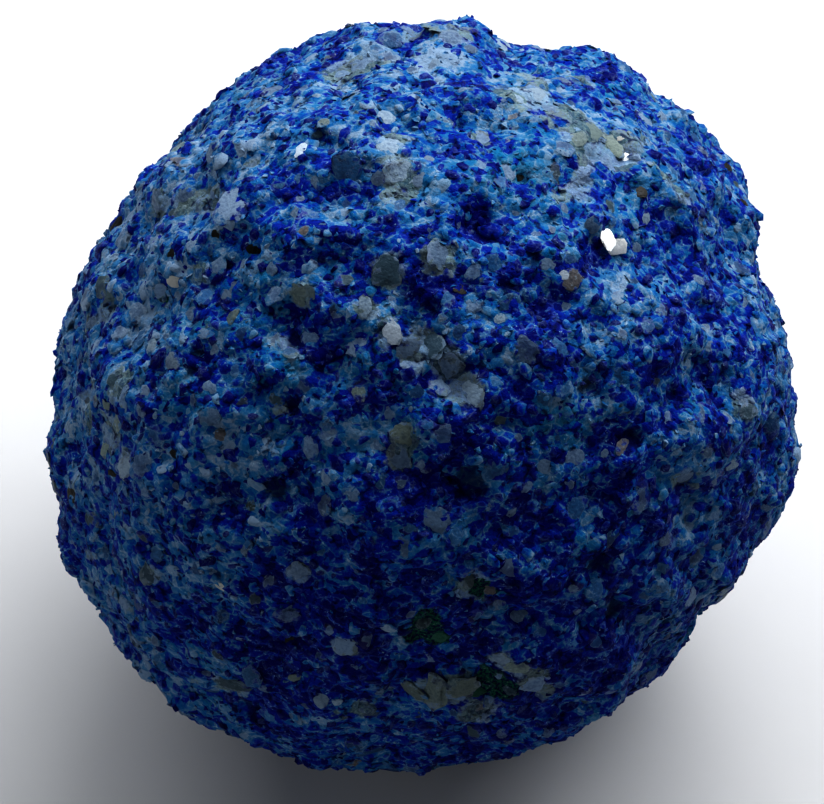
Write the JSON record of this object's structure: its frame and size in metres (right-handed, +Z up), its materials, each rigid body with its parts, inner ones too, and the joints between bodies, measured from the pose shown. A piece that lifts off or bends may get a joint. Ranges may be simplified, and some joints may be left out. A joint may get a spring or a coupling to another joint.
{
  "type": "azurite nodule",
  "caption": "Ball-shaped mineral nodule of sand grains cemented by deep blue azurite, with a small flattened side that it rests on.",
  "frame": {"origin": "on the flat rest face, under the middle of the nodule's bounding box", "axes": "+Z up from the rest face; -Y is the side that the best face leans towards; +X to its right"},
  "size_m": [0.0182, 0.0178, 0.0175],
  "materials": {
    "azurite": "matte"
  },
  "bodies": {
    "root": {"nodule": "azurite"}
  },
  "joints": []
}
